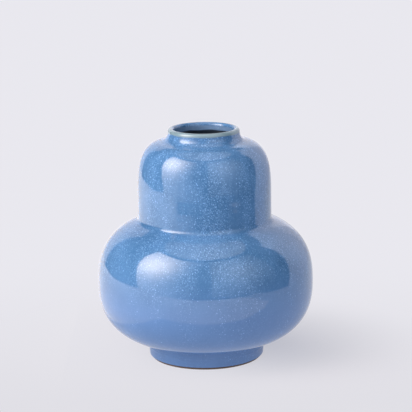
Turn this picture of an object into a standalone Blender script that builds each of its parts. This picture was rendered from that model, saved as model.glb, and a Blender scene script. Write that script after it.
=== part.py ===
"""Flower vase: a round two-chambered stoneware vase, built up in luted sections under a glaze.

A low foot ring carries a wide belly, a narrower dome rises from the belly's waist, and a short
collar ends in a rounded lip.  The clay is five turned sections.  The foot ring takes a spigot
under the belly, and the others meet in stepped lute joints: the lower section's tongue stands
inside the upper section's skirt.  One glaze coat covers the outside, down to a bare band at the
foot, and a second one lines the chambers and meets it on the lip.

Units are metres and +Z is up.  The origin is the centre of the circle that the foot stands on.
"""
import math
from typing import NamedTuple

import bmesh
import bpy

# Foot ring
FOOT_RADIUS = 0.0490             # over the glaze, at the floor
FOOT_FLARE = 0.0013              # added to that radius where the belly begins
FOOT_WIDTH = 0.0080              # from the bore to the glazed face
FOOT_HEIGHT = 0.0141             # floor to the flat of the belly's underside
FOOT_EASE = 0.0012               # bevel on both edges that stand on the floor
SPIGOT_DEPTH = 0.0020            # of the belly's boss inside the foot's bore
BARE_BAND = 0.0022               # height of the unglazed clay at the floor

# Belly
BELLY_RADIUS = 0.0927            # over the glaze, at the widest line
BELLY_BASE_RADIUS = 0.0327       # of the flat underside
BELLY_UNDER_HEIGHT = 0.0518      # flat underside to the widest line
BELLY_UNDER_POWER = 2.375        # 2 is an ellipse, more is squarer
BELLY_CROWN_HEIGHT = 0.0620      # widest line to where the curve would close on the axis
BELLY_CROWN_POWER = 2.66
WAIST_FILLET = 0.0030

# Dome
DOME_RADIUS = 0.0572             # over the glaze
DOME_WALL_HEIGHT = 0.0212        # straight wall, from the waist fillet to the shoulder
DOME_SHOULDER_HEIGHT = 0.0455
DOME_SHOULDER_POWER = 2.975
DOME_FLAT_INSET = 0.0034         # how far inside the collar's face the shoulder turns level

# Collar and lip
COLLAR_RADIUS = 0.0307           # over the glaze
COLLAR_FILLET = 0.0035
COLLAR_HEIGHT = 0.0045           # straight wall, from its fillet to the lip
LIP_THICKNESS = 0.00525          # over both glazes
MOUTH_EASE = 0.0015              # rounding where the neck opens into the dome

# Wall build-up and fits
WALL = 0.0065                    # glaze, clay and glaze together, also in the floor
GLAZE = 0.0006
GAP = 0.0003                     # clearance between any two neighbouring pieces
TONGUE = 0.0040                  # height of the lute joints' tongues
LIP_TONGUE = 0.0020              # of the one in the short collar
SEAM_RISE = 0.0020               # waist seam, above the waist fillet

# Fineness of the turned surfaces
SEGMENTS = 32
CURVE_STEPS = 6
FILLET_STEPS = 3
LIP_STEPS = 3
SEAT_STEPS = 2
HALVINGS = 48
SHARP_ANGLE = math.radians(35.0)

QUARTER = math.pi / 2
COVER = GLAZE + GAP              # from a glazed face down to the clay


class Curve(NamedTuple):
    """A quarter outline, upright at its widest radius and level at its flat radius."""

    flat_radius: float
    widest_radius: float
    widest_height: float
    rise: float                  # to the level end, negative when that is below
    power: float

    def point(self, turn):
        """Radius and height at a turn from 0 (upright) to a quarter circle (level)."""
        across = math.cos(turn)
        along = math.sin(turn)
        size = (across ** self.power + along ** self.power) ** (-1.0 / self.power)
        radius = self.flat_radius + (self.widest_radius - self.flat_radius) * size * across
        return radius, self.widest_height + self.rise * size * along

    def normal(self, turn):
        """Unit normal at a turn: its share outwards, and its share towards the level end."""
        radius, height = self.point(turn)
        reach = self.widest_radius - self.flat_radius
        outwards = ((radius - self.flat_radius) / reach) ** (self.power - 1) / reach
        share = (height - self.widest_height) / self.rise
        onwards = share ** (self.power - 1) / abs(self.rise)
        length = math.hypot(outwards, onwards)
        return outwards / length, onwards / length

    def height_at(self, radius):
        """Height of the curve, or of its flat, at a radius."""
        reach = self.widest_radius - self.flat_radius
        share = max(radius - self.flat_radius, 0.0) / reach
        return self.widest_height + self.rise * (1.0 - share ** self.power) ** (1.0 / self.power)

    def turn_at(self, radius):
        """Turn at which the curve has come in to a radius."""
        return last_turn(lambda turn: self.point(turn)[0] > radius)

    def points(self, first, last, steps=CURVE_STEPS):
        """Points from one turn to another, both ends included."""
        shares = [step / steps for step in range(steps + 1)]
        return [self.point(first * (1.0 - share) + last * share) for share in shares]


class Blend(NamedTuple):
    """A fillet that leads from the upper side of a curve into an upright wall."""

    curve: Curve
    wall: float                  # radius of the wall
    fillet: float

    def touch(self):
        """Turn at which the curve meets the fillet."""
        reach = self.wall + self.fillet
        return last_turn(
            lambda turn: self.curve.point(turn)[0] + self.curve.normal(turn)[0] * self.fillet > reach)

    def centre_height(self):
        """Height of the fillet's centre, where the upright wall begins."""
        turn = self.touch()
        return self.curve.point(turn)[1] + self.curve.normal(turn)[1] * self.fillet

    def points(self):
        """The curve from its widest line, then the fillet as far as the wall."""
        turn = self.touch()
        outwards, onwards = self.curve.normal(turn)
        lean = math.atan2(onwards, outwards)
        height = self.centre_height()
        arc = []
        for step in range(1, FILLET_STEPS + 1):
            angle = lean * (1.0 - step / FILLET_STEPS)
            radius = self.wall + self.fillet - self.fillet * math.cos(angle)
            arc.append((radius, height - self.fillet * math.sin(angle)))
        return self.curve.points(0.0, turn) + arc


class Seam(NamedTuple):
    """A stepped lute joint between two clay sections."""

    height: float
    tongue: float

    def radius(self):
        """Radius of the step, midway through the clay."""
        outer = radius_at(outside(COVER), self.height)
        inner = radius_at(inside(COVER), self.height)
        return (outer + inner) / 2

    def top_of_lower(self):
        """Step on the section below: its shoulder, then the face of its tongue."""
        radius = self.radius() - GAP / 2
        return [(radius, self.height - GAP), (radius, self.height + self.tongue)]

    def foot_of_upper(self):
        """Step on the section above: the roof over the tongue, then its skirt."""
        radius = self.radius() + GAP / 2
        return [(radius, self.height + self.tongue + GAP), (radius, self.height)]


def last_turn(test):
    """Largest turn of the quarter circle at which a test still holds."""
    low = 0.0
    high = QUARTER
    for _ in range(HALVINGS):
        middle = (low + high) / 2
        if test(middle):
            low = middle
        else:
            high = middle
    return low


# Curves of the body, each drawn at some depth below the outside glazed face

WIDEST_HEIGHT = FOOT_HEIGHT + BELLY_UNDER_HEIGHT


def belly_under(depth):
    """Belly curve below its widest line."""
    rise = depth - BELLY_UNDER_HEIGHT
    return Curve(BELLY_BASE_RADIUS, BELLY_RADIUS - depth, WIDEST_HEIGHT, rise, BELLY_UNDER_POWER)


def belly_crown(depth):
    """Belly curve above its widest line, blended into the waist."""
    rise = BELLY_CROWN_HEIGHT - depth
    curve = Curve(0.0, BELLY_RADIUS - depth, WIDEST_HEIGHT, rise, BELLY_CROWN_POWER)
    return Blend(curve, DOME_RADIUS - depth, WAIST_FILLET + depth)


WAIST_HEIGHT = belly_crown(0.0).centre_height()


def dome_shoulder(depth):
    """Dome curve above its straight wall."""
    flat_radius = COLLAR_RADIUS - DOME_FLAT_INSET
    rise = DOME_SHOULDER_HEIGHT - depth
    start = WAIST_HEIGHT + DOME_WALL_HEIGHT
    return Curve(flat_radius, DOME_RADIUS - depth, start, rise, DOME_SHOULDER_POWER)


def collar_blend(depth):
    """Dome shoulder, blended into the collar's outside."""
    return Blend(dome_shoulder(depth), COLLAR_RADIUS - depth, COLLAR_FILLET + depth)


COLLAR_BASE = collar_blend(0.0).centre_height()
LIP_LEVEL = COLLAR_BASE + COLLAR_HEIGHT


def lip(cover, first, last):
    """Round of the lip between two angles, which start at the outside and turn over the top."""
    size = LIP_THICKNESS / 2 - cover
    centre = COLLAR_RADIUS - LIP_THICKNESS / 2
    points = []
    for step in range(LIP_STEPS + 1):
        angle = first + (last - first) * step / LIP_STEPS
        points.append((centre + size * math.cos(angle), LIP_LEVEL + size * math.sin(angle)))
    return points


def outside(cover):
    """Rising outline, under a cover of glaze, from the floor up to the top of the lip."""
    under = belly_under(cover)
    foot_top = FOOT_RADIUS + FOOT_FLARE - cover
    foot = [(FOOT_RADIUS - cover, 0.0)]
    belly = under.points(under.turn_at(foot_top), 0.0)
    waist = belly_crown(cover).points()[1:]
    dome = collar_blend(cover).points()
    return foot + belly + waist + dome + lip(cover, 0.0, QUARTER)


def inside(cover, parting=0.0):
    """Rising outline of the chambers, under a cover of glaze, from the floor up to the lip.

    It stops an angle of parting short of the top of the lip.
    """
    depth = WALL - cover
    shoulder = dome_shoulder(depth)
    mouth = COLLAR_RADIUS - LIP_THICKNESS + cover
    ease = MOUTH_EASE + cover
    ease_height = shoulder.height_at(mouth + ease) + ease
    belly = belly_under(depth).points(QUARTER, 0.0)
    waist = belly_crown(depth).points()[1:]
    dome = shoulder.points(0.0, shoulder.turn_at(mouth + ease))
    neck = []
    for step in range(1, FILLET_STEPS + 1):
        angle = QUARTER * (1.0 - step / FILLET_STEPS)
        radius = mouth + ease - ease * math.cos(angle)
        neck.append((radius, ease_height - ease * math.sin(angle)))
    over = lip(cover, 2 * QUARTER, QUARTER + parting)
    return [(0.0, belly[0][1])] + belly + waist + dome + neck + over


# Cutting and joining outlines


def radius_at(outline, height):
    """Radius of a rising outline at a height."""
    for (radius, low), (next_radius, high) in zip(outline, outline[1:]):
        if low < high and low <= height <= high:
            return radius + (next_radius - radius) * (height - low) / (high - low)
    raise ValueError(f"the outline does not reach {height:.4f} m")


def above(outline, height):
    """Part of a rising outline above a height."""
    return [(radius_at(outline, height), height)] + [point for point in outline if point[1] > height]


def below(outline, height):
    """Part of a rising outline below a height."""
    return [point for point in outline if point[1] < height] + [(radius_at(outline, height), height)]


def seat(first_radius):
    """Underside of the clay belly, from a radius out to just short of the foot's face."""
    under = belly_under(COVER)
    width = FOOT_RADIUS + FOOT_FLARE - COVER - first_radius
    radii = [first_radius + width * step / SEAT_STEPS for step in range(SEAT_STEPS)]
    return [(radius, under.height_at(radius)) for radius in radii]


BELLY_SEAM = Seam(WIDEST_HEIGHT, TONGUE)
WAIST_SEAM = Seam(WAIST_HEIGHT + SEAM_RISE, TONGUE)
LIP_SEAM = Seam(COLLAR_BASE + GAP, LIP_TONGUE)


# Building solids


def surface_material(name, colour, roughness, coat=0.0):
    """Material of bare clay or, with a coat weight, of a glaze with a clear glassy face."""
    material = bpy.data.materials.new(name)
    material.use_nodes = True
    shader = material.node_tree.nodes["Principled BSDF"]
    shader.inputs["Base Color"].default_value = (*colour, 1.0)
    shader.inputs["Roughness"].default_value = roughness
    shader.inputs["Metallic"].default_value = 0.0
    shader.inputs["Coat Weight"].default_value = coat
    material.diffuse_color = (*colour, 1.0)
    return material


def turned(name, outline, material):
    """Spin an outline about the vertical axis into one solid.

    An outline that starts and ends on the axis stays open there, and any other one is closed.
    """
    shape = bmesh.new()
    corners = [shape.verts.new((radius, 0.0, height)) for radius, height in outline]
    follow = corners[1:] if outline[0][0] == 0.0 else corners[1:] + corners[:1]
    sides = [shape.edges.new(pair) for pair in zip(corners, follow)]
    bmesh.ops.spin(
        shape, geom=corners + sides, cent=(0.0, 0.0, 0.0), axis=(0.0, 0.0, 1.0),
        angle=math.tau, steps=SEGMENTS, use_merge=True)
    bmesh.ops.remove_doubles(shape, verts=shape.verts, dist=GAP / 100)
    bmesh.ops.recalc_face_normals(shape, faces=shape.faces)
    mesh = bpy.data.meshes.new(name)
    shape.to_mesh(mesh)
    shape.free()
    mesh.shade_smooth()
    mesh.set_sharp_from_angle(angle=SHARP_ANGLE)
    mesh.materials.append(material)
    piece = bpy.data.objects.new(name, mesh)
    bpy.context.scene.collection.objects.link(piece)
    return piece


def foot_ring(clay):
    """Ring that the vase stands on, hollowed to sit under the belly around its spigot."""
    bore = FOOT_RADIUS - FOOT_WIDTH
    wall = above(outside(COVER), FOOT_EASE)[0]
    under = belly_under(COVER)
    face_top = FOOT_RADIUS + FOOT_FLARE - COVER
    top = [(radius, height - GAP) for radius, height in seat(bore)]
    floor = [(bore + FOOT_EASE, 0.0), (wall[0] - FOOT_EASE, 0.0)]
    face = [wall, (face_top, under.height_at(face_top) - GAP)]
    turned("foot_ring", floor + face + top[::-1] + [(bore, FOOT_EASE)], clay)


def lower_belly(clay):
    """Bowl with the vase's floor, from the foot up to the widest line."""
    spigot = FOOT_RADIUS - FOOT_WIDTH - GAP
    spigot_base = FOOT_HEIGHT + COVER - SPIGOT_DEPTH
    crease = belly_under(COVER).height_at(FOOT_RADIUS + FOOT_FLARE - COVER)
    under = [(0.0, spigot_base), (spigot, spigot_base)] + seat(spigot)
    wall = below(above(outside(COVER), crease), BELLY_SEAM.height - GAP)
    hollow = below(inside(COVER), BELLY_SEAM.height + BELLY_SEAM.tongue)
    turned("lower_belly", under + wall + BELLY_SEAM.top_of_lower() + hollow[::-1], clay)


def wall_section(name, lower, upper, clay):
    """Clay between two seams, with a skirt at its foot and a tongue at its top."""
    wall = below(above(outside(COVER), lower.height), upper.height - GAP)
    hollow = below(
        above(inside(COVER), lower.height + lower.tongue + GAP), upper.height + upper.tongue)
    turned(name, wall + upper.top_of_lower() + hollow[::-1] + lower.foot_of_upper(), clay)


def mouth_collar(clay):
    """Short neck ring with the rounded lip, on top of the dome."""
    wall = above(outside(COVER), LIP_SEAM.height)
    hollow = above(inside(COVER), LIP_SEAM.height + LIP_SEAM.tongue + GAP)
    turned("mouth_collar", wall + hollow[-2::-1] + LIP_SEAM.foot_of_upper(), clay)


def glaze_coat(glaze):
    """Glaze over the whole outside, from the bare band at the foot to the top of the lip."""
    face = above(outside(0.0), BARE_BAND)
    back = above(outside(GLAZE), BARE_BAND)
    turned("glaze_coat", face + back[::-1], glaze)


def liner_glaze(glaze):
    """Glaze over the inside, parted from the outer coat just inside the top of the lip."""
    parting = GAP / (LIP_THICKNESS / 2 - GLAZE)
    face = inside(0.0, parting)
    back = inside(GLAZE, parting)
    turned("liner_glaze", face + back[::-1], glaze)


def main():
    """Clear the scene and build the vase."""
    for old in list(bpy.data.objects):
        bpy.data.objects.remove(old, do_unlink=True)
    clay = {
        name: surface_material(name, colour, 0.85) for name, colour in {
            "foot_clay": (0.150, 0.115, 0.090),
            "lower_belly_clay": (0.300, 0.235, 0.180),
            "upper_belly_clay": (0.330, 0.260, 0.200),
            "dome_clay": (0.360, 0.285, 0.220),
            "collar_clay": (0.390, 0.310, 0.240),
        }.items()}
    blue_glaze = surface_material("blue_glaze", (0.122, 0.255, 0.497), 0.10, coat=1.0)
    pale_glaze = surface_material("liner_glaze", (0.300, 0.390, 0.440), 0.12, coat=1.0)
    foot_ring(clay["foot_clay"])
    lower_belly(clay["lower_belly_clay"])
    wall_section("upper_belly", BELLY_SEAM, WAIST_SEAM, clay["upper_belly_clay"])
    wall_section("dome", WAIST_SEAM, LIP_SEAM, clay["dome_clay"])
    mouth_collar(clay["collar_clay"])
    glaze_coat(blue_glaze)
    liner_glaze(pale_glaze)


main()
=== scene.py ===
"""Flower vase: the looks of a round two-chambered stoneware vase under a speckled blue gloss glaze.

The vase is turned here at full fineness from the same outline as its CAD model.  Each clay section,
the bare foot ring and the two coats of glaze are outlines drawn corner by corner and spun about
the vertical axis, as on a wheel.  Radii and heights are read off the CAD nodes' boxes, and the
roundness of each curve is a named size of its class.

Units are metres and +Z is up.
"""
import logging
import math
from dataclasses import dataclass
from enum import Enum
from typing import Any, Callable, Mapping, Optional

import bpy
from mathutils import Matrix, Vector


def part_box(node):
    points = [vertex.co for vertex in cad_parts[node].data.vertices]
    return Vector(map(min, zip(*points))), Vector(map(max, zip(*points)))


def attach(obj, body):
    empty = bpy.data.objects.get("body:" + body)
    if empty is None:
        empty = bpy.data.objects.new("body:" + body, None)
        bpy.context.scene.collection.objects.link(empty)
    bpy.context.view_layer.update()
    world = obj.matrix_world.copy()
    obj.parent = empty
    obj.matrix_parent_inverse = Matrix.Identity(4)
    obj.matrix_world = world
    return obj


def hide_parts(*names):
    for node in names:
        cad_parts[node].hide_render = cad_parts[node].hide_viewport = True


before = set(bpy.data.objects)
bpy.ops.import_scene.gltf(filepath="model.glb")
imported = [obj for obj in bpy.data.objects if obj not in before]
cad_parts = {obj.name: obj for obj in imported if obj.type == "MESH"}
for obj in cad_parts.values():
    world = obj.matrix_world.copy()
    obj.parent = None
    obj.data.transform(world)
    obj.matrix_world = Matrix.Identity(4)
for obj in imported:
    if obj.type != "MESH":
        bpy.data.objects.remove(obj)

log = logging.getLogger("flower_vase")

Outline = list[tuple[float, float]]
Tree = bpy.types.NodeTree
Socket = bpy.types.NodeSocket

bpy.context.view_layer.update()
BODY = "root"
MM = 0.001
QUARTER = math.pi / 2
MERGE_DISTANCE = 0.002 * MM
SMOOTH_ANGLE = math.radians(32.0)


class Fineness(Enum):
    """How many straight pieces stand for each kind of round stretch."""

    CIRCLE = 160
    CURVE = 20
    FILLET = 6
    LIP = 8
    SEAT = 4
    HALVING = 50


class Coverage(Enum):
    """Layers of the wall, by the face that an outline follows."""

    FACE = "glazed face"
    BACK = "back of the glaze"
    CLAY = "face of the clay"


# ---------------------------------------------------------------- outlines


def arc(
    centre: tuple[float, float], size: float, first: float, last: float, steps: int
) -> Outline:
    """Evenly turned points of an arc, by radius and height; a negative size faces the axis."""
    angles = [first + (last - first) * step / steps for step in range(steps + 1)]
    return [(centre[0] + size * math.cos(angle), centre[1] + size * math.sin(angle))
            for angle in angles]


@dataclass(frozen=True)
class Curve:
    """A quarter outline, upright at its widest radius and level at its flat radius.

    Attributes:
        flat_radius: radius at which it turns level.
        widest_radius: radius at which it stands upright.
        widest_height: height of that upright end.
        rise: height from there to the level end, negative when that is below.
        power: squareness, where 2 is an ellipse.
    """

    flat_radius: float
    widest_radius: float
    widest_height: float
    rise: float
    power: float

    def point(self, turn: float) -> tuple[float, float]:
        """Finds a point of the curve.

        Args:
            turn: from 0 at the upright end to a quarter circle at the level end.

        Returns:
            Its radius and height.
        """
        across = math.cos(turn)
        along = math.sin(turn)
        size = (across ** self.power + along ** self.power) ** (-1.0 / self.power)
        radius = self.flat_radius + (self.widest_radius - self.flat_radius) * size * across
        return radius, self.widest_height + self.rise * size * along

    def normal(self, turn: float) -> tuple[float, float]:
        """Finds the direction square to the curve.

        Args:
            turn: as for a point.

        Returns:
            The unit normal's share outwards, and its share towards the level end.
        """
        radius, height = self.point(turn)
        reach = self.widest_radius - self.flat_radius
        outwards = (max(radius - self.flat_radius, 0.0) / reach) ** (self.power - 1) / reach
        share = max((height - self.widest_height) / self.rise, 0.0)
        onwards = share ** (self.power - 1) / abs(self.rise)
        length = math.hypot(outwards, onwards)
        return outwards / length, onwards / length

    def height_at(self, radius: float) -> float:
        """Finds the height of the curve, or of its flat.

        Args:
            radius: where to measure.

        Returns:
            The height there.
        """
        reach = self.widest_radius - self.flat_radius
        share = max(radius - self.flat_radius, 0.0) / reach
        return self.widest_height + self.rise * (1.0 - share ** self.power) ** (1.0 / self.power)

    def turn_at(self, radius: float) -> float:
        """Turn at which the curve has come in to a radius."""
        return last_turn(lambda turn: self.point(turn)[0] > radius)

    def points(self, first: float, last: float) -> Outline:
        """Evenly turned points of the curve from one turn to another, both ends included."""
        shares = [step / Fineness.CURVE.value for step in range(Fineness.CURVE.value + 1)]
        return [self.point(first * (1.0 - share) + last * share) for share in shares]


@dataclass(frozen=True)
class Blend:
    """A fillet that leads from the upper side of a curve into an upright wall.

    Attributes:
        curve: the curve that it leaves.
        wall: radius of the wall.
        fillet: radius of the fillet itself.
    """

    curve: Curve
    wall: float
    fillet: float

    def touch(self) -> float:
        """Turn at which the curve meets the fillet."""
        curve = self.curve
        reach = self.wall + self.fillet
        return last_turn(
            lambda turn: curve.point(turn)[0] + curve.normal(turn)[0] * self.fillet > reach)

    def centre_height(self) -> float:
        """Height of the fillet's centre, where the wall begins."""
        turn = self.touch()
        return self.curve.point(turn)[1] + self.curve.normal(turn)[1] * self.fillet

    def points(self) -> Outline:
        """Draws the curve from its widest line, then the fillet.

        Returns:
            The outline as far as the wall.
        """
        turn = self.touch()
        outwards, onwards = self.curve.normal(turn)
        lean = math.atan2(onwards, outwards)
        centre = (self.wall + self.fillet, self.centre_height())
        fillet = arc(centre, -self.fillet, lean, 0.0, Fineness.FILLET.value)
        return self.curve.points(0.0, turn) + fillet[1:]


def last_turn(test: Callable[[float], bool]) -> float:
    """Halves the quarter circle down to where a test stops holding.

    Args:
        test: true from the start of the quarter circle up to some turn.

    Returns:
        The largest turn at which it still holds.
    """
    low = 0.0
    high = QUARTER
    for _ in range(Fineness.HALVING.value):
        middle = (low + high) / 2
        if test(middle):
            low = middle
        else:
            high = middle
    return low


def radius_at(outline: Outline, height: float) -> float:
    """Radius of a rising outline at a height.

    Args:
        outline: points from low to high.
        height: where to measure, which the outline must reach.

    Returns:
        The radius there.
    """
    for (radius, low), (next_radius, high) in zip(outline, outline[1:]):
        if low < high and low <= height <= high:
            return radius + (next_radius - radius) * (height - low) / (high - low)
    raise ValueError(f"the outline does not reach {height:.4f} m")


def above(outline: Outline, height: float) -> Outline:
    """Part of a rising outline above a height."""
    rest = [point for point in outline if point[1] > height]
    return [(radius_at(outline, height), height)] + rest


def below(outline: Outline, height: float) -> Outline:
    """Part of a rising outline below a height."""
    rest = [point for point in outline if point[1] < height]
    return rest + [(radius_at(outline, height), height)]


@dataclass(frozen=True)
class Shape:
    """The vase's outline: sizes read off the CAD nodes, and the roundness of each curve.

    Attributes:
        gap: clearance between neighbouring CAD pieces.
        glaze: thickness of each glaze.
        spigot_depth: of the belly's boss inside the foot ring.
        foot_width: of the foot ring, from its bore to its glazed face.
        foot_flare: how much wider the foot is at its top than at the floor.
        foot_ease: bevel on the edges that stand on the floor.
        belly_base_radius: of the belly's flat underside.
        belly_under_power: squareness of the belly below its widest line.
        belly_crown_height: widest line to where the upper curve would close on the axis.
        belly_crown_power: squareness of the belly above its widest line.
        waist_fillet: fillet between belly and dome, with the glaze that has gathered in it.
        dome_shoulder_height: of the dome's rounded top.
        dome_shoulder_power: its squareness.
        dome_flat_inset: how far inside the collar's face the shoulder turns level.
        collar_fillet: fillet between dome and collar, in the clay.
        collar_flare: the same over the glaze that has gathered there, which sweeps up to the lip.
        collar_height: straight part of the collar.
        mouth_ease: rounding where the neck opens into the dome.
        tongue: height of the lute joints' tongues.
        lip_tongue: height of the one in the collar.
    """

    gap: float = 0.3 * MM
    glaze: float = 0.6 * MM
    spigot_depth: float = 2.0 * MM
    foot_width: float = 8.0 * MM
    foot_flare: float = 1.3 * MM
    foot_ease: float = 1.2 * MM
    belly_base_radius: float = 32.7 * MM
    belly_under_power: float = 2.375
    belly_crown_height: float = 62.0 * MM
    belly_crown_power: float = 2.66
    waist_fillet: float = 4.2 * MM
    dome_shoulder_height: float = 45.5 * MM
    dome_shoulder_power: float = 2.975
    dome_flat_inset: float = 3.4 * MM
    collar_fillet: float = 3.5 * MM
    collar_flare: float = 7.4 * MM
    collar_height: float = 4.5 * MM
    mouth_ease: float = 1.5 * MM
    tongue: float = 4.0 * MM
    lip_tongue: float = 2.0 * MM

    @property
    def cover(self) -> float:
        """Depth of the clay under a glazed face."""
        return self.glaze + self.gap

    @property
    def bare_band(self) -> float:
        """Height of the unglazed clay at the floor."""
        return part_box("glaze_coat")[0].z

    @property
    def top(self) -> float:
        """Height of the vase."""
        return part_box("glaze_coat")[1].z

    @property
    def belly_radius(self) -> float:
        """Radius over the glaze at the widest line."""
        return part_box("glaze_coat")[1].x

    @property
    def widest_height(self) -> float:
        """Height of the widest line, where the two belly sections meet."""
        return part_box("upper_belly")[0].z

    @property
    def foot_height(self) -> float:
        """Height of the belly's flat underside over its glaze."""
        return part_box("lower_belly")[0].z + self.spigot_depth - self.cover

    @property
    def foot_radius(self) -> float:
        """Radius over the glaze at the floor."""
        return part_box("foot_ring")[1].x + self.cover - self.foot_flare

    @property
    def dome_radius(self) -> float:
        """Radius over the glaze of the dome's straight wall."""
        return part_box("dome")[1].x + self.cover

    @property
    def collar_radius(self) -> float:
        """Radius over the glaze of the collar."""
        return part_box("mouth_collar")[1].x + self.cover

    @property
    def dome_flat_radius(self) -> float:
        """Radius at which the dome's shoulder turns level."""
        return self.collar_radius - self.dome_flat_inset

    @property
    def wall(self) -> float:
        """Glaze, clay and glaze together."""
        return self.belly_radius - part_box("liner_glaze")[1].x + self.glaze

    @property
    def collar_base(self) -> float:
        """Height at which the collar's straight wall begins."""
        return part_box("mouth_collar")[0].z - self.gap

    @property
    def lip_level(self) -> float:
        """Height of the centre of the lip's round."""
        return self.collar_base + self.collar_height

    @property
    def lip_thickness(self) -> float:
        """Thickness of the lip over both glazes."""
        return 2 * (self.top - self.lip_level)

    def foot_top(self, depth: float) -> float:
        """Radius at which the foot's face meets the belly."""
        return self.foot_radius + self.foot_flare - depth

    def belly_under(self, depth: float) -> Curve:
        """Belly below its widest line, drawn at a depth under the outer face."""
        rise = depth - (self.widest_height - self.foot_height)
        return Curve(
            self.belly_base_radius, self.belly_radius - depth, self.widest_height, rise,
            self.belly_under_power)

    def belly_crown(self, depth: float) -> Blend:
        """Draws the belly above its widest line, blended into the waist.

        Args:
            depth: under the outer face.

        Returns:
            The curve with its fillet.
        """
        rise = self.belly_crown_height - depth
        curve = Curve(
            0.0, self.belly_radius - depth, self.widest_height, rise, self.belly_crown_power)
        return Blend(curve, self.dome_radius - depth, self.waist_fillet + depth)

    def dome_shoulder(self, depth: float) -> Curve:
        """Dome above its straight wall."""
        return Curve(
            self.dome_flat_radius, self.dome_radius - depth, self.shoulder_start(),
            self.dome_shoulder_height - depth, self.dome_shoulder_power)

    def shoulder_start(self) -> float:
        """Finds where the dome's wall begins to round over, set by the collar.

        Returns:
            The height there.
        """
        trial = Curve(
            self.dome_flat_radius, self.dome_radius, 0.0, self.dome_shoulder_height,
            self.dome_shoulder_power)
        blend = Blend(trial, self.collar_radius, self.collar_fillet)
        return self.collar_base - blend.centre_height()

    def lip(self, cover: float, first: float, last: float) -> Outline:
        """Draws the round of the lip.

        Args:
            cover: depth under its face.
            first: angle to start at, where 0 faces outwards and a quarter circle is the top.
            last: angle to end at.

        Returns:
            Points of the arc.
        """
        size = self.lip_thickness / 2 - cover
        centre = self.collar_radius - self.lip_thickness / 2
        return arc((centre, self.lip_level), size, first, last, Fineness.LIP.value)

    def depth(self, layer: Coverage) -> float:
        """Depth of a layer's outline under the glazed face next to it."""
        return {Coverage.FACE: 0.0, Coverage.BACK: self.glaze, Coverage.CLAY: self.cover}[layer]

    def outside(self, layer: Coverage) -> Outline:
        """Draws the rising outline of the outside, from the floor to the top of the lip.

        Args:
            layer: which layer of the wall to follow.

        Returns:
            The outline.
        """
        cover = self.depth(layer)
        under = self.belly_under(cover)
        foot = [(self.foot_radius - cover, 0.0)]
        belly = under.points(under.turn_at(self.foot_top(cover)), 0.0)
        waist = self.belly_crown(cover).points()[1:]
        fillet = self.collar_flare if layer is Coverage.FACE else self.collar_fillet + cover
        blend = Blend(self.dome_shoulder(cover), self.collar_radius - cover, fillet)
        return foot + belly + waist + blend.points() + self.lip(cover, 0.0, QUARTER)

    def inside(self, layer: Coverage) -> Outline:
        """Draws the rising outline of the chambers, from the floor's middle up the neck.

        Args:
            layer: which layer of the wall to follow.

        Returns:
            The outline.
        """
        cover = self.depth(layer)
        depth = self.wall - cover
        shoulder = self.dome_shoulder(depth)
        mouth = self.collar_radius - self.lip_thickness + cover
        ease = self.mouth_ease + cover
        ease_height = shoulder.height_at(mouth + ease) + ease
        belly = self.belly_under(depth).points(QUARTER, 0.0)
        waist = self.belly_crown(depth).points()[1:]
        dome = shoulder.points(0.0, shoulder.turn_at(mouth + ease))
        neck = arc((mouth + ease, ease_height), -ease, QUARTER, 0.0, Fineness.FILLET.value)
        return [(0.0, belly[0][1])] + belly + waist + dome + neck[1:] + [(mouth, self.lip_level)]

    def seat(self, first_radius: float) -> Outline:
        """Draws the underside of the clay belly, out to just short of the foot's face.

        Args:
            first_radius: where it starts.

        Returns:
            Its points, outwards.
        """
        under = self.belly_under(self.cover)
        width = self.foot_top(self.cover) - first_radius
        steps = Fineness.SEAT.value
        radii = [first_radius + width * step / steps for step in range(steps)]
        return [(radius, under.height_at(radius)) for radius in radii]


@dataclass(frozen=True)
class Seam:
    """A stepped lute joint between two clay sections.

    Attributes:
        shape: the vase's outline.
        height: of the joint's outer line.
        tongue: height of the tongue above it.
    """

    shape: Shape
    height: float
    tongue: float

    def radius(self) -> float:
        """Finds the step, midway through the clay.

        Returns:
            Its radius.
        """
        outer = radius_at(self.shape.outside(Coverage.CLAY), self.height)
        inner = radius_at(self.shape.inside(Coverage.CLAY), self.height)
        return (outer + inner) / 2

    def top_of_lower(self) -> Outline:
        """Step on the section below: its shoulder, then the face of its tongue."""
        radius = self.radius() - self.shape.gap / 2
        return [(radius, self.height - self.shape.gap), (radius, self.height + self.tongue)]

    def foot_of_upper(self) -> Outline:
        """Step on the section above: the roof over the tongue, then its skirt."""
        radius = self.radius() + self.shape.gap / 2
        return [(radius, self.height + self.tongue + self.shape.gap), (radius, self.height)]


# ---------------------------------------------------------------- modelling


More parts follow.
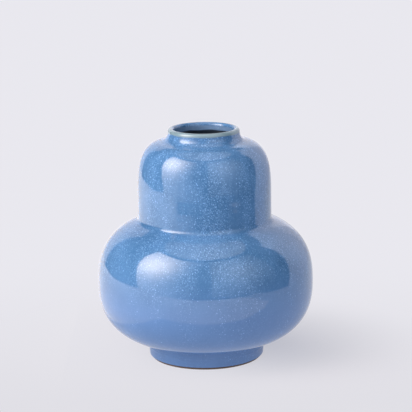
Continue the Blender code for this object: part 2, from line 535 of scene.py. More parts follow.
def spin_piece(name: str, outline: Outline) -> bpy.types.Object:
    """Turns one solid from its outline, as on a wheel.

    A small plane is shrunk to the first corner, each next corner is extruded from the last, and
    the line is spun about the vertical axis.

    Args:
        name: of the new object.
        outline: radius and height of each corner, left open only where it meets the axis.

    Returns:
        The object, with its place in its mesh.
    """
    radius, height = outline[0]
    bpy.ops.object.select_all(action="DESELECT")
    bpy.ops.mesh.primitive_plane_add(size=MM, location=(radius, 0.0, height))
    piece = bpy.context.object
    piece.name = name
    piece.data.name = name
    bpy.ops.object.transform_apply(location=True, rotation=True, scale=True)
    bpy.ops.object.mode_set(mode="EDIT")
    bpy.ops.mesh.select_mode(type="VERT")
    bpy.ops.mesh.select_all(action="SELECT")
    bpy.ops.mesh.merge(type="CENTER")
    for next_radius, next_height in outline[1:]:
        step = (next_radius - radius, 0.0, next_height - height)
        bpy.ops.mesh.extrude_vertices_move(TRANSFORM_OT_translate={"value": step})
        radius, height = next_radius, next_height
    if outline[0][0] > 0.0:
        bpy.ops.object.mode_set(mode="OBJECT")
        piece.data.vertices[0].select = True
        bpy.ops.object.mode_set(mode="EDIT")
        bpy.ops.mesh.edge_face_add()
    bpy.ops.mesh.select_all(action="SELECT")
    bpy.ops.mesh.spin(
        steps=Fineness.CIRCLE.value, angle=math.tau, center=(0.0, 0.0, 0.0), axis=(0.0, 0.0, 1.0))
    bpy.ops.mesh.select_all(action="SELECT")
    bpy.ops.mesh.remove_doubles(threshold=MERGE_DISTANCE)
    bpy.ops.mesh.normals_make_consistent(inside=False)
    bpy.ops.object.mode_set(mode="OBJECT")
    bpy.ops.object.shade_smooth_by_angle(angle=SMOOTH_ANGLE)
    return piece


def dress(piece: bpy.types.Object, material: bpy.types.Material, node: str) -> None:
    """Gives a piece its finish and its place in the frame.

    Args:
        piece: the finished object.
        material: its finish.
        node: CAD node that it stands for.
    """
    piece.data.materials.clear()
    piece.data.materials.append(material)
    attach(piece, BODY)
    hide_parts(node)
    log.info("%s: %d faces, finished in %s", piece.name, len(piece.data.polygons), material.name)


# ---------------------------------------------------------------- finishes


def linear(code: str, alpha: float = 1.0) -> tuple[float, float, float, float]:
    """Turns an sRGB hex colour into linear values.

    Args:
        code: six hex digits.
        alpha: fourth value of the result.

    Returns:
        Red, green, blue and alpha.
    """
    values = []
    for start in (0, 2, 4):
        share = int(code[start:start + 2], 16) / 255
        values.append(share / 12.92 if share <= 0.04045 else ((share + 0.055) / 1.055) ** 2.4)
    return values[0], values[1], values[2], alpha


def add_node(tree: Tree, kind: str, settings: Optional[Mapping[Any, Any]] = None) -> bpy.types.Node:
    """Adds a node and fills it in.

    Args:
        tree: node tree to add to.
        kind: Blender's name for the node's type, without the "ShaderNode" in front.
        settings: for each property, or each input by its name or number, its value or the output
            socket that feeds it.

    Returns:
        The node.
    """
    node = tree.nodes.new("ShaderNode" + kind)
    for name, value in (settings or {}).items():
        if isinstance(value, Socket):
            tree.links.new(value, node.inputs[name])
        elif isinstance(name, str) and hasattr(node, name):
            setattr(node, name, value)
        else:
            node.inputs[name].default_value = value
    return node


def add_math(tree: Tree, operation: str, *values: float | Socket) -> Socket:
    """Adds a sum of numbers, and gives its result."""
    return add_node(tree, "Math", {"operation": operation, **dict(enumerate(values))}).outputs[0]


def add_vector_math(tree: Tree, operation: str, *values: tuple | Socket) -> Socket:
    """Adds a sum of vectors, and gives its result."""
    node = add_node(tree, "VectorMath", {"operation": operation, **dict(enumerate(values))})
    return node.outputs["Value" if operation in ("LENGTH", "DOT_PRODUCT") else "Vector"]


def add_range(
    tree: Tree, value: Socket, start: float, end: float, low: float | Socket = 0.0,
    high: float = 1.0, soft: bool = False,
) -> Socket:
    """Turns one range of values into another, and holds it at both ends.

    Args:
        tree: node tree to add to.
        value: what to turn.
        start: value that gives the low result.
        end: value that gives the high result.
        low: result at the start.
        high: result at the end.
        soft: eased in and out.

    Returns:
        The result.
    """
    return add_node(
        tree, "MapRange",
        {"interpolation_type": "SMOOTHSTEP" if soft else "LINEAR", "Value": value,
         "From Min": start, "From Max": end, "To Min": low, "To Max": high}).outputs["Result"]


def add_mix(tree: Tree, share: Socket, first: str | Socket, second: str) -> Socket:
    """Mixes a second colour over a first, where the share is 1 for the second alone."""
    under = linear(first) if isinstance(first, str) else first
    return add_node(
        tree, "Mix", {"data_type": "RGBA", 0: share, 6: under, 7: linear(second)}).outputs[2]


def add_noise(
    tree: Tree, place: Socket, size: float, detail: float = 2.0, roughness: float = 0.5
) -> Socket:
    """Adds soft noise, whose largest patches are so wide, and gives its value."""
    return add_node(
        tree, "TexNoise",
        {"Scale": 1.0 / size, "Detail": detail, "Roughness": roughness,
         "Vector": place}).outputs["Fac"]


def add_bump(
    tree: Tree, height: Socket, depth: float, strength: float = 1.0, under: Optional[Socket] = None
) -> Socket:
    """Adds shallow relief.

    Args:
        tree: node tree to add to.
        height: from 0 for the bottom to 1 for the top of it.
        depth: of the relief in metres.
        strength: share of it that shows.
        under: relief that it lies on.

    Returns:
        The normal.
    """
    settings = {"Strength": strength, "Distance": depth, "Height": height}
    if under is not None:
        settings["Normal"] = under
    return add_node(tree, "Bump", settings).outputs["Normal"]


def add_emission(tree: Tree, tint: str, strength: Socket) -> Socket:
    """Adds an even glow of a hex colour."""
    settings = {"Color": linear(tint), "Strength": strength}
    return add_node(tree, "Emission", settings).outputs["Emission"]


def add_surface(
    tree: Tree, refraction: float, colour: Socket, roughness: Socket, normal: Socket
) -> None:
    """Adds a fired surface and shows it."""
    shader = add_node(
        tree, "BsdfPrincipled",
        {"IOR": refraction, "Metallic": 0.0, "Base Color": colour, "Roughness": roughness,
         "Normal": normal})
    add_node(tree, "OutputMaterial", {"Surface": shader.outputs["BSDF"]})


def new_material(name: str) -> tuple[bpy.types.Material, Tree]:
    """Makes a material with an empty node tree.

    Args:
        name: of the material.

    Returns:
        The material and its tree.
    """
    material = bpy.data.materials.new(name)
    material.use_nodes = True
    material.node_tree.nodes.clear()
    return material, material.node_tree


@dataclass(frozen=True)
class SpeckledGlaze:
    """Glossy reactive glaze on stoneware, fired until it runs: a glass with pale crystals in it.

    It gives the eye a mid blue with cloudy and streaked depth, fine pale flecks that float in the
    glass, sharp reflections, and a pale celadon break where it has drained off the lip.  Low on the
    belly and on the foot a paler blue is painted bounce light from the floor, and deep in the neck
    the liner turns to a darker, matt blue.

    Attributes:
        name: of the material.
        deep: colour where the glaze is thick.
        body: its usual colour.
        run: colour of the paler streaks that ran down.
        fleck: colour of the crystals.
        lip: colour where the glaze is thin on the lip.
        painted_bounce: paler blue painted low on the belly and on the foot, painted bounce light
            from the floor.
        cloud_size: width of the cloudy patches.
        run_width: width of the streaks.
        run_stretch: how much longer than wide they are.
        grain_size: width of the finest mottling.
        drift_size: width of the areas with many or few crystals.
        dust_cell: spacing of the fine flecks.
        dust_radius: of the largest fine fleck.
        dust_share: strength of the fine flecks.
        fleck_cell: spacing of the larger flecks.
        fleck_radius: of the largest of them.
        fleck_edge: sharpness of their edges.
        crystal_share: how far a crystal covers what is under it.
        mottle_share: the same for the mottling.
        run_share: the same for the streaks.
        painted_bounce_share: the same for that painted bounce light.
        wander: how far the edges of the lip's break and of the darker blue deep in the neck wander.
        thick_band: shares of the height between which the crystals grow more frequent.
        painted_bounce_band: shares of the height between which the painted bounce light fades out.
        break_band: depths below the lip's top between which the break begins.
        break_rim: distances inside the lip's crest between which it begins.
        neck_dark_band: depths below the lip's top between which the darker blue deep in the neck
            begins.
        foot_band: heights between which the glaze turns from matt to gloss.
        ripple_spacing: of the faint throwing rings under the glaze.
        ripple_depth: of those rings and of the slow waves in the glaze.
        fleck_depth: of the flecks' relief.
        refraction: index of refraction of the glassy face.
        roughness: of the fired face.
        foot_roughness: near the foot, where the glaze is thin.
        speckle: strength of the flecks, 1 is full.
        lip_top: height of the lip's top, for the break.
        lip_crest: radius of the lip's top.
        neck_dark: darker colour deep in the neck, below the lip's top.
        neck_darkening: how much of that shows, with a matt finish, 0 for none.
    """

    name: str
    deep: str
    body: str
    run: str
    fleck: str
    lip: str
    lip_top: float
    lip_crest: float
    painted_bounce: str = "5B84C0"
    neck_dark: str = "172330"
    neck_darkening: float = 0.0
    cloud_size: float = 26.0 * MM
    run_width: float = 3.2 * MM
    run_stretch: float = 9.0
    grain_size: float = 1.2 * MM
    drift_size: float = 16.0 * MM
    dust_cell: float = 1.15 * MM
    dust_radius: float = 0.42 * MM
    dust_share: float = 0.80
    fleck_cell: float = 2.2 * MM
    fleck_radius: float = 0.60 * MM
    fleck_edge: float = 2.2
    crystal_share: float = 0.85
    mottle_share: float = 0.36
    run_share: float = 0.20
    painted_bounce_share: float = 0.65
    wander: float = 2.0 * MM
    thick_band: tuple[float, float] = (0.30, 0.50)
    painted_bounce_band: tuple[float, float] = (0.25, 0.48)
    break_band: tuple[float, float] = (2.6 * MM, 1.5 * MM)
    break_rim: tuple[float, float] = (1.3 * MM, 0.3 * MM)
    neck_dark_band: tuple[float, float] = (5.8 * MM, 4.8 * MM)
    foot_band: tuple[float, float] = (8.0 * MM, 17.0 * MM)
    ripple_spacing: float = 6.5 * MM
    ripple_depth: float = 0.12 * MM
    fleck_depth: float = 0.004 * MM
    refraction: float = 1.67
    roughness: float = 0.06
    foot_roughness: float = 0.30
    speckle: float = 1.0

    def fleck_mask(
        self, tree: Tree, place: Socket, density: Socket, cell: float, largest: float
    ) -> Socket:
        """Scatters round flecks, one at most in each cell.

        Args:
            tree: node tree to add to.
            place: coordinates in metres.
            density: from 0, where no cell has a fleck, to 1.
            cell: spacing of the cells.
            largest: radius of the largest fleck.

        Returns:
            A socket that is 1 in a fleck and 0 outside.
        """
        cells = add_node(
            tree, "TexVoronoi",
            {"feature": "F1", "Scale": 1.0 / cell, "Randomness": 1.0, "Vector": place})
        chance = add_node(tree, "SeparateColor", {"Color": cells.outputs["Color"]})
        wanted = add_math(tree, "SUBTRACT", density, chance.outputs["Red"])
        limit = largest / cell
        radius = add_math(tree, "MULTIPLY", wanted, self.fleck_edge * limit)
        limited = add_math(tree, "MINIMUM", radius, limit)
        inside = add_math(tree, "SUBTRACT", limited, cells.outputs["Distance"])
        return add_range(tree, inside, 0.0, limit / self.fleck_edge)

    def colour(
        self, tree: Tree, height: Socket, clouds: Socket, runs: Socket, crystals: Socket
    ) -> Socket:
        """Lays the colours over each other, up to the crystals.

        Args:
            tree: node tree to add to.
            height: above the floor.
            clouds: noise for the cloudy patches.
            runs: noise for the streaks.
            crystals: 1 in a crystal and 0 outside.

        Returns:
            The colour.
        """
        cloudy = add_range(tree, clouds, 0.34, 0.66)
        depth = add_mix(tree, cloudy, self.deep, self.body)
        streaky = add_range(tree, runs, 0.45, 0.72, 0.0, self.run_share)
        streaked = add_mix(tree, streaky, depth, self.run)
        # Painted bounce light: a paler blue low on the belly and on the foot stands in for light
        # from the floor below.
        bottom, top = (share * self.lip_top for share in self.painted_bounce_band)
        low = add_range(tree, height, bottom, top, self.painted_bounce_share, 0.0, soft=True)
        base = add_mix(tree, low, streaked, self.painted_bounce)
        shown = add_math(tree, "MULTIPLY", crystals, self.crystal_share * self.speckle)
        return add_mix(tree, shown, base, self.fleck)

    def break_mask(self, tree: Tree, place: Socket, edge: Socket) -> Socket:
        """Marks where the glaze is thin, on the crest and the outer side of the lip.

        Args:
            tree: node tree to add to.
            place: coordinates in metres.
            edge: height with its wandering.

        Returns:
            A socket that is 1 on the lip and 0 elsewhere.
        """
        bottom, top = (self.lip_top - depth for depth in self.break_band)
        thin = add_range(tree, edge, bottom, top, soft=True)
        level = add_vector_math(tree, "MULTIPLY", place, (1.0, 1.0, 0.0))
        radius = add_vector_math(tree, "LENGTH", level)
        inner, rim = (self.lip_crest - depth for depth in self.break_rim)
        outer = add_range(tree, radius, inner, rim, soft=True)
        return add_math(tree, "MULTIPLY", thin, outer)

    def make(self) -> bpy.types.Material:
        """Builds the material.

        Returns:
            The material.
        """
        material, tree = new_material(self.name)
        place = add_node(tree, "TexCoord").outputs["Object"]
        height = add_node(tree, "SeparateXYZ", {"Vector": place}).outputs["Z"]
        stretch = (1.0, 1.0, 1.0 / self.run_stretch)
        drawn = add_node(tree, "Mapping", {"Scale": stretch, "Vector": place}).outputs["Vector"]
        clouds = add_noise(tree, place, self.cloud_size, 3.0, 0.55)
        runs = add_noise(tree, drawn, self.run_width, 2.0, 0.6)
        drift = add_noise(tree, drawn, self.drift_size)

        bottom, top = (share * self.lip_top for share in self.thick_band)
        thick = add_range(tree, height, bottom, top, 0.45, 1.0, soft=True)
        patchy = add_range(tree, drift, 0.32, 0.62, 0.48, 1.32)
        density = add_math(tree, "MULTIPLY", thick, patchy)
        dust = self.fleck_mask(tree, place, density, self.dust_cell, self.dust_radius)
        flecks = self.fleck_mask(tree, place, density, self.fleck_cell, self.fleck_radius)
        faint = add_math(tree, "MULTIPLY", dust, self.dust_share)
        both = add_math(tree, "MAXIMUM", faint, flecks)
        grain = add_noise(tree, place, self.grain_size, 1.0)
        mottled = add_range(tree, grain, 0.52, 0.76, 0.0, self.mottle_share)
        mottling = add_math(tree, "MULTIPLY", mottled, density)
        crystals = add_math(tree, "MAXIMUM", both, mottling)

        flecked = self.colour(tree, height, clouds, runs, crystals)
        edge = add_math(tree, "MULTIPLY_ADD", drift, self.wander, height)
        thinned = add_mix(tree, self.break_mask(tree, place, edge), flecked, self.lip)
        # Darker blue deep in the neck, below the lip's top, which also turns matt.
        bottom, top = (self.lip_top - depth for depth in self.neck_dark_band)
        neck_darkness = add_range(tree, edge, bottom, top, self.neck_darkening, 0.0, soft=True)
        darkened = add_mix(tree, neck_darkness, thinned, self.neck_dark)

        foot = add_range(tree, height, *self.foot_band, self.foot_roughness, self.roughness)
        uneven = add_math(tree, "MULTIPLY_ADD", runs, 0.03, foot)
        dried = add_math(tree, "MULTIPLY_ADD", neck_darkness, 0.25, uneven)
        rings = add_node(
            tree, "TexWave",
            {"wave_type": "BANDS", "bands_direction": "Z", "Scale": 0.314 / self.ripple_spacing,
             "Distortion": 1.5, "Detail": 1.0, "Detail Scale": 0.6, "Vector": place})
        swell = add_math(tree, "MULTIPLY_ADD", rings.outputs["Fac"], 0.12, clouds)
        slow = add_bump(tree, swell, self.ripple_depth)
        fine = add_bump(tree, both, self.fleck_depth, under=slow)
        add_surface(tree, self.refraction, darkened, dried, fine)
        return material


@dataclass(frozen=True)
class BareStoneware:
    """Fired stoneware with no glaze: dry, matt clay with dark iron grit and a fine sandy tooth.

    Attributes:
        name: of the material.
        clay: usual colour.
        scorched: colour of the darker flashed patches.
        grit: colour of the iron specks.
        flashing: width of the flashed patches.
        grain: size of the sandy grain.
        grit_cell: spacing of the specks.
    """

    name: str
    clay: str
    scorched: str
    grit: str = "3A2C22"
    flashing: float = 18.0 * MM
    grain: float = 0.6 * MM
    grit_cell: float = 1.8 * MM

    def make(self) -> bpy.types.Material:
        """Builds the material.

        Returns:
            The material.
        """
        material, tree = new_material(self.name)
        place = add_node(tree, "TexCoord").outputs["Object"]
        flashing = add_noise(tree, place, self.flashing, 3.0)
        grain = add_noise(tree, place, self.grain, 3.0)
        specks = add_node(
            tree, "TexVoronoi", {"feature": "F1", "Scale": 1.0 / self.grit_cell, "Vector": place})
        colour = add_mix(tree, flashing, self.clay, self.scorched)
        dark = add_range(tree, specks.outputs["Distance"], 0.16, 0.10, 0.0, 0.8)
        gritty = add_mix(tree, dark, colour, self.grit)
        dry = add_range(tree, grain, 0.0, 1.0, 0.72, 0.92)
        tooth = add_bump(tree, grain, 0.05 * MM, 0.6)
        add_surface(tree, 1.45, gritty, dry, tooth)
        return material


# ---------------------------------------------------------------- sub-assemblies


@dataclass
class ClayBody:
    """The five luted clay sections, from the foot ring to the lip.

    Attributes:
        shape: the vase's outline.
    """

    shape: Shape

    def seams(self) -> tuple[Seam, Seam, Seam]:
        """Places the three joints.

        Returns:
            The joints at the widest line, above the waist and under the lip.
        """
        shape = self.shape
        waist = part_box("dome")[0].z
        return (
            Seam(shape, shape.widest_height, shape.tongue),
            Seam(shape, waist, shape.tongue),
            Seam(shape, shape.collar_base + shape.gap, shape.lip_tongue),
        )

    def foot_ring(self) -> bpy.types.Object:
        """Turns the ring that the vase stands on, with its bare contact edge.

        Returns:
            The ring.
        """
        shape = self.shape
        bore = shape.foot_radius - shape.foot_width
        wall = above(shape.outside(Coverage.CLAY), shape.foot_ease)[0]
        under = shape.belly_under(shape.cover)
        face_top = shape.foot_top(shape.cover)
        top = [(radius, height - shape.gap) for radius, height in shape.seat(bore)]
        floor = [(bore + shape.foot_ease, 0.0), (wall[0] - shape.foot_ease, 0.0)]
        face = [wall, (face_top, under.height_at(face_top) - shape.gap)]
        return spin_piece("foot_ring_clay", floor + face + top[::-1] + [(bore, shape.foot_ease)])

    def lower_belly(self, seam: Seam) -> bpy.types.Object:
        """Turns the bowl with the vase's floor, up to the widest line.

        Args:
            seam: joint at its upper edge.

        Returns:
            The bowl.
        """
        shape = self.shape
        spigot = shape.foot_radius - shape.foot_width - shape.gap
        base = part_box("lower_belly")[0].z
        crease = shape.belly_under(shape.cover).height_at(shape.foot_top(shape.cover))
        under = [(0.0, base), (spigot, base)] + shape.seat(spigot)
        wall = below(above(shape.outside(Coverage.CLAY), crease), seam.height - shape.gap)
        hollow = below(shape.inside(Coverage.CLAY), seam.height + seam.tongue)
        return spin_piece("lower_belly_clay", under + wall + seam.top_of_lower() + hollow[::-1])

    def wall_section(self, name: str, lower: Seam, upper: Seam) -> bpy.types.Object:
        """Turns the clay between two seams.

        Args:
            name: of the piece.
            lower: joint at its foot, where it has a skirt.
            upper: joint at its top, where it has a tongue.

        Returns:
            The section.
        """
        shape = self.shape
        wall = below(above(shape.outside(Coverage.CLAY), lower.height), upper.height - shape.gap)
        hollow = below(
            above(shape.inside(Coverage.CLAY), lower.height + lower.tongue + shape.gap),
            upper.height + upper.tongue)
        return spin_piece(name, wall + upper.top_of_lower() + hollow[::-1] + lower.foot_of_upper())

    def mouth_collar(self, seam: Seam) -> bpy.types.Object:
        """Turns the short neck ring with the rounded lip.

        Args:
            seam: joint at its foot.

        Returns:
            The ring.
        """
        shape = self.shape
        wall = above(shape.outside(Coverage.CLAY), seam.height)
        over = shape.lip(shape.cover, QUARTER, 2 * QUARTER)[1:]
        hollow = above(shape.inside(Coverage.CLAY), seam.height + seam.tongue + shape.gap)
        return spin_piece("mouth_collar_clay", wall + over + hollow[-2::-1] + seam.foot_of_upper())

    def build(self) -> None:
        """Turns and dresses all five sections."""
        widest, waist, lip = self.seams()
        bare = BareStoneware("bare_stoneware_foot", clay="6E5A4A", scorched="4B3B30").make()
        dress(self.foot_ring(), bare, "foot_ring")
        biscuit = BareStoneware("stoneware_under_glaze", clay="A08C76", scorched="84705C").make()
        dress(self.lower_belly(widest), biscuit, "lower_belly")
        upper = self.wall_section("upper_belly_clay", widest, waist)
        dress(upper, biscuit, "upper_belly")
        dome = self.wall_section("dome_clay", waist, lip)
        dress(dome, biscuit, "dome")
        dress(self.mouth_collar(lip), biscuit, "mouth_collar")


@dataclass
class GlazeCoats:
    """The two coats of glaze: one over the outside and the lip, one that lines the chambers.

    Attributes:
        shape: the vase's outline.
    """

    shape: Shape

    def outer_coat(self) -> bpy.types.Object:
        """Turns the outer coat, from the bare band at the foot over the lip into the neck.

        Returns:
            The coat.
        """
        shape = self.shape
        face, back = (
            above(shape.outside(layer), shape.bare_band)
            + shape.lip(shape.depth(layer), QUARTER, 2 * QUARTER)[1:]
            for layer in (Coverage.FACE, Coverage.BACK))
        return spin_piece("blue_glaze_coat", face + back[::-1])

    def liner(self) -> bpy.types.Object:
        """Turns the liner, from the neck down over the floor."""
        face, back = (self.shape.inside(layer) for layer in (Coverage.FACE, Coverage.BACK))
        return spin_piece("liner_glaze_coat", face + back[::-1])

    def build(self) -> None:
        """Turns and dresses both coats."""
        crest = self.shape.collar_radius - self.shape.lip_thickness / 2
        blue = SpeckledGlaze(
            "speckled_blue_gloss_glaze", deep="42709F", body="517FB0", run="6991BE", fleck="8AB9EE",
            lip="7F98A3", lip_top=self.shape.top, lip_crest=crest).make()
        dress(self.outer_coat(), blue, "glaze_coat")
        lining = SpeckledGlaze(
            "plain_blue_liner_glaze", deep="6789B1", body="7A9AC3", run="8CA9CB", fleck="9DB8D2",
            lip="9AA9A2", lip_top=self.shape.top, lip_crest=crest, neck_darkening=1.0, speckle=0.3).make()
        dress(self.liner(), lining, "liner_glaze")


# ---------------------------------------------------------------- studio


@dataclass(frozen=True)
class Card:
    """A soft glowing card, bent round the vase like paper on a hoop.

    Attributes:
        name: of the card.
        lower: bearings of its lower corners, in degrees, where 0 is in front and 90 to the right.
        upper: bearings of its upper corners.
        bottom: angle of its lower edge above the vase's middle, in degrees.
        top: angle of its upper edge.
        level: its even glow.
        near_edge: share of that at its first edge.
        far_edge: share of that at its last edge.
        spot: bearing and angle of a brighter spot, in degrees.
        spot_glow: what the spot adds at its centre.
        spot_size: angle from there to where it has dropped by two fifths, in degrees.
        tint: colour of the light.
        distance: from the vase's middle.
        mirrored_only: shown by the glaze without lighting it.
    """

    name: str
    lower: tuple[float, float]
    upper: tuple[float, float]
    bottom: float
    top: float
    level: float
    near_edge: float = 1.0
    far_edge: float = 1.0
    spot: tuple[float, float] = (0.0, 0.0)
    spot_glow: float = 0.0
    spot_size: float = 15.0
    tint: str = "FFFAF8"
    distance: float = 1.25
    mirrored_only: bool = False

    @staticmethod
    def direction(bearing: float, angle: float) -> Vector:
        """Finds the direction of a bearing and an angle.

        Args:
            bearing: in degrees, where 0 is in front and 90 to the right.
            angle: above level, in degrees.

        Returns:
            The unit vector.
        """
        around = math.radians(bearing)
        up = math.radians(angle)
        return Vector((
            math.sin(around) * math.cos(up), -math.cos(around) * math.cos(up), math.sin(up)))

    def light(self, middle: Vector) -> bpy.types.Material:
        """Makes the card's glow, with its fading edges and its brighter spot.

        Args:
            middle: of the vase.

        Returns:
            The material.
        """
        material, tree = new_material(self.name + "_light")
        coordinates = add_node(tree, "TexCoord")
        across = add_node(tree, "SeparateXYZ", {"Vector": coordinates.outputs["UV"]})
        fade = add_range(
            tree, across.outputs["X"], 0.0, 1.0, self.level * self.near_edge,
            self.level * self.far_edge, soft=True)
        offset = add_vector_math(tree, "SUBTRACT", coordinates.outputs["Object"], tuple(middle))
        ray = add_vector_math(tree, "NORMALIZE", offset)
        aim = add_vector_math(tree, "DOT_PRODUCT", ray, tuple(self.direction(*self.spot)))
        sharpness = 1.0 / math.radians(self.spot_size) ** 2
        drop = add_math(tree, "MULTIPLY_ADD", aim, sharpness, -sharpness)
        bell = add_math(tree, "EXPONENT", drop)
        total = add_math(tree, "MULTIPLY_ADD", bell, self.spot_glow, fade)
        add_node(tree, "OutputMaterial", {"Surface": add_emission(tree, self.tint, total)})
        return material

    def hang(self, middle: Vector) -> None:
        """Bends the card into place, where it lights the vase but stays out of the picture.

        Args:
            middle: of the vase.
        """
        bpy.ops.object.select_all(action="DESELECT")
        bpy.ops.mesh.primitive_grid_add(x_subdivisions=16, y_subdivisions=12, size=1.0)
        card = bpy.context.object
        card.name = self.name
        for vertex in card.data.vertices:
            across = vertex.co.x + 0.5
            up = vertex.co.y + 0.5
            first = self.lower[0] + (self.upper[0] - self.lower[0]) * up
            last = self.lower[1] + (self.upper[1] - self.lower[1]) * up
            bearing = first + (last - first) * across
            angle = self.bottom + (self.top - self.bottom) * up
            vertex.co = middle + self.direction(bearing, angle) * self.distance
        card.data.materials.append(self.light(middle))
        card.visible_camera = False
        card.visible_shadow = False
        card.visible_diffuse = not self.mirrored_only


@dataclass(frozen=True)
class Studio:
    """A plain pale table, soft cards of light around it, and the camera.

    Attributes:
        table_left: reach of the table to the left.
        table_right: reach to the right.
        table_front: reach to the front.
        table_back: reach to the back.
        floor_reach: reach of the wide paper floor around it.
        paper: colour of the paper.
        paper_glow: its brightness out of reach of the cards.
        room_share: share of that even light close to the vase on its shadow side.
        lamp_share: the same on the side of the brightest card.
        lamp_bearing: bearing of that side, in degrees.
        shadow_edge: distances to that side between which the share changes.
        near_edge: distances from the vase between which the even light takes over.
        falling_reach: distances back between which the paper's painted glow turns brighter.
        bounce_bearing: bearing in which the bounce sheets turn brighter, in degrees.
        bounce_start: where the bright left side of the table begins.
        bounce_end: where it is at its brightest.
        bounce_front: where the paler front of the table begins.
        bounce_right: where it ends.
        bounce_low: glow of the bounce sheets near the vase.
        bounce_high: glow where they are at their brightest.
        front_share: brightness of the nearest paper against the paper behind the vase.
        room_tint: colour of the room's light.
        unseen_glow: glow of the room on the vase.
        lens: length of the camera's lens, in millimetres.
        camera_place: of the camera.
        camera_drop: how far it looks down, in degrees.
        camera_roll: how far it leans, in degrees.
    """

    table_left: float = 1.00
    table_right: float = 0.56
    table_front: float = 0.47
    table_back: float = 2.40
    floor_reach: float = 7.0
    paper: str = "D4D4DC"
    paper_glow: float = 0.86
    room_share: float = 0.56
    lamp_share: float = 0.92
    lamp_bearing: float = -45.0
    shadow_edge: tuple[float, float] = (-0.09, 0.06)
    near_edge: tuple[float, float] = (0.05, 0.22)
    falling_reach: tuple[float, float] = (-0.25, 0.35)
    bounce_bearing: float = -68.0
    bounce_start: float = 0.12
    bounce_end: float = 0.50
    bounce_front: float = 0.16
    bounce_right: float = 0.30
    bounce_low: float = 1.30
    bounce_high: float = 1.6
    front_share: float = 0.91
    room_tint: str = "F9F8FF"
    unseen_glow: float = 0.09
    lens: float = 161.66
    camera_place: tuple[float, float, float] = (1.14 * MM, -1547.5 * MM, 485.8 * MM)
    camera_drop: float = 12.887
    camera_roll: float = -0.767

    def paper_material(self) -> bpy.types.Material:
        """Makes matt paper, lit by the cards near the vase, with a painted even glow that stands in
        for the room's light farther out and, mixed in near the vase, softens its shadow.

        Returns:
            The material.
        """
        material, tree = new_material("pale_matt_paper")
        place = add_node(tree, "TexCoord").outputs["Object"]
        lamp_side = add_vector_math(
            tree, "DOT_PRODUCT", place, tuple(Card.direction(self.lamp_bearing, 0.0)))
        near = add_range(
            tree, lamp_side, *self.shadow_edge, self.room_share, self.lamp_share, soft=True)
        away = add_vector_math(tree, "LENGTH", place)
        far = add_range(tree, away, *self.near_edge, near, 1.0, soft=True)
        lit = add_node(tree, "BsdfDiffuse", {"Color": linear(self.paper), "Roughness": 0.4})
        depth = add_node(tree, "SeparateXYZ", {"Vector": place})
        falling = add_range(
            tree, depth.outputs["Y"], *self.falling_reach, self.front_share * self.paper_glow,
            self.paper_glow, soft=True)
        even = add_emission(tree, self.room_tint, falling)
        both = add_node(tree, "MixShader", {0: far, 1: lit.outputs["BSDF"], 2: even})
        add_node(tree, "OutputMaterial", {"Surface": both.outputs["Shader"]})
        return material

    def sheet(
        self, name: str, low: tuple[float, float], high: tuple[float, float],
        material: bpy.types.Material,
    ) -> bpy.types.Object:
        """Lays one flat sheet of paper on the floor.

        Args:
            name: of the sheet.
            low: its left and front edges.
            high: its right and back edges.
            material: its paper.

        Returns:
            The sheet.
        """
        bpy.ops.object.select_all(action="DESELECT")
        bpy.ops.mesh.primitive_plane_add(
            size=1.0, location=((low[0] + high[0]) / 2, (low[1] + high[1]) / 2, 0.0))
        sheet = bpy.context.object
        sheet.name = name
        sheet.scale = (high[0] - low[0], high[1] - low[1], 1.0)
        bpy.ops.object.transform_apply(location=True, rotation=True, scale=True)
        sheet.data.materials.append(material)
        return sheet

    def ground(self) -> None:
        """Lays the table that the glaze mirrors, and the wide floor around it."""
        paper = self.paper_material()
        left, right = -self.table_left, self.table_right
        front, back = -self.table_front, self.table_back
        reach = self.floor_reach
        self.sheet("paper_table", (left, front), (right, back), paper)
        sides = {
            "paper_front": ((-reach, -reach), (reach, front)),
            "paper_back": ((-reach, back), (reach, reach)),
            "paper_left": ((-reach, front), (left, back)),
            "paper_right": ((right, front), (reach, back)),
        }
        for name, (low, high) in sides.items():
            side = self.sheet(name, low, high, paper)
            side.visible_glossy = False
        self.bounce()

    def bounce(self) -> None:
        """Lays bounce sheets on the left and the front of the table, brightest near the scrim."""
        material, tree = new_material("bounce_light")
        place = add_node(tree, "TexCoord").outputs["Object"]
        reach = add_vector_math(
            tree, "DOT_PRODUCT", place, tuple(Card.direction(self.bounce_bearing, 0.0)))
        strength = add_range(
            tree, reach, self.bounce_start, self.bounce_end, self.bounce_low, self.bounce_high)
        glow = add_emission(tree, "FFF5EF", strength)
        add_node(tree, "OutputMaterial", {"Surface": glow})
        front = -self.table_front
        areas = {
            "left_bounce": ((-self.table_left, front), (-self.bounce_start, self.table_back)),
            "front_bounce": ((-self.bounce_start, front), (self.bounce_right, -self.bounce_front)),
        }
        for name, (low, high) in areas.items():
            sheet = self.sheet(name, low, high, material)
            for vertex in sheet.data.vertices:
                vertex.co.z = MM
            sheet.visible_camera = False
            sheet.visible_shadow = False
            sheet.visible_diffuse = name == "left_bounce"

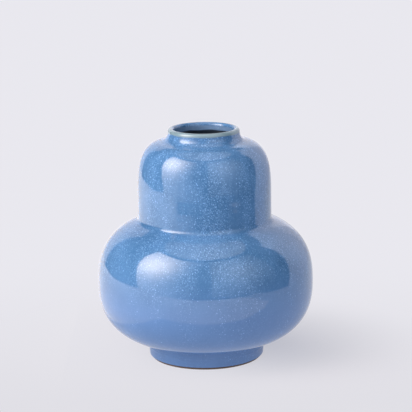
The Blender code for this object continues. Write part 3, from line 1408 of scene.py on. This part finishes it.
    def cards(self) -> None:
        """Hangs the cards of light."""
        middle = Vector((0.0, 0.0, 0.12))
        around = (
            Card("scrim", (-71.0, 6.0), (-96.0, 2.0), -10.0, 58.0, 1.4, far_edge=0.1,
                 spot=(-66.0, 37.0), spot_glow=8.4, spot_size=15.5, tint="FFF4EF"),
            Card("front_fill", (6.0, 78.0), (6.0, 78.0), -8.0, 58.0, 0.42, far_edge=0.3,
                 spot=(36.0, 34.0), spot_glow=1.25, spot_size=19.0, tint="F4F8FF"),
            Card("overhead", (-180.0, 180.0), (-180.0, 180.0), 62.0, 90.0, 0.50,
                 spot=(10.0, 68.0), spot_glow=0.80, spot_size=26.0),
            Card("right_reflector", (94.0, 165.0), (112.0, 150.0), -12.0, 50.0, 0.85, far_edge=0.7,
                 spot=(122.0, 34.0), spot_glow=0.65, spot_size=26.0, tint="F2F0FF",
                 mirrored_only=True),
            Card("rear_backdrop", (150.0, 225.0), (150.0, 216.0), -4.0, 38.0, 1.02,
                 near_edge=1.30, far_edge=1.0, tint="F6F4FF"),
        )
        for card in around:
            card.hang(middle)

    def room(self) -> None:
        """Fills the unseen room: nearly dark to the vase, pale to the camera."""
        world = bpy.data.worlds.new("dim_room")
        bpy.context.scene.world = world
        world.use_nodes = True
        tree = world.node_tree
        tree.nodes.clear()
        rays = add_node(tree, "LightPath")
        strength = add_range(
            tree, rays.outputs["Is Camera Ray"], 0.0, 1.0, self.unseen_glow, self.paper_glow)
        glow = add_node(tree, "Background", {"Color": linear(self.room_tint), "Strength": strength})
        add_node(tree, "OutputWorld", {"Surface": glow.outputs["Background"]})

    def camera(self) -> None:
        """Sets a long-lens camera in front of the vase, looking down at it a little."""
        data = bpy.data.cameras.new("camera")
        data.sensor_width = 36.0
        data.lens = self.lens
        data.clip_start = 0.05
        data.clip_end = 30.0
        camera = bpy.data.objects.new("camera", data)
        bpy.context.scene.collection.objects.link(camera)
        pitch = Matrix.Rotation(math.radians(90.0 - self.camera_drop), 4, "X")
        roll = Matrix.Rotation(math.radians(self.camera_roll), 4, "Z")
        place = Matrix.Translation(self.camera_place)
        camera.matrix_world = place @ pitch @ roll
        bpy.context.scene.camera = camera

    def build(self) -> None:
        """Sets up the whole studio."""
        self.ground()
        self.cards()
        self.room()
        self.camera()
        bpy.context.scene.view_settings.view_transform = "Standard"


def main() -> None:
    """Builds the vase and its studio."""
    logging.basicConfig(level=logging.INFO, format="%(name)s: %(message)s")
    shape = Shape()
    ClayBody(shape).build()
    GlazeCoats(shape).build()
    Studio().build()


if __name__ == "__main__":
    main()
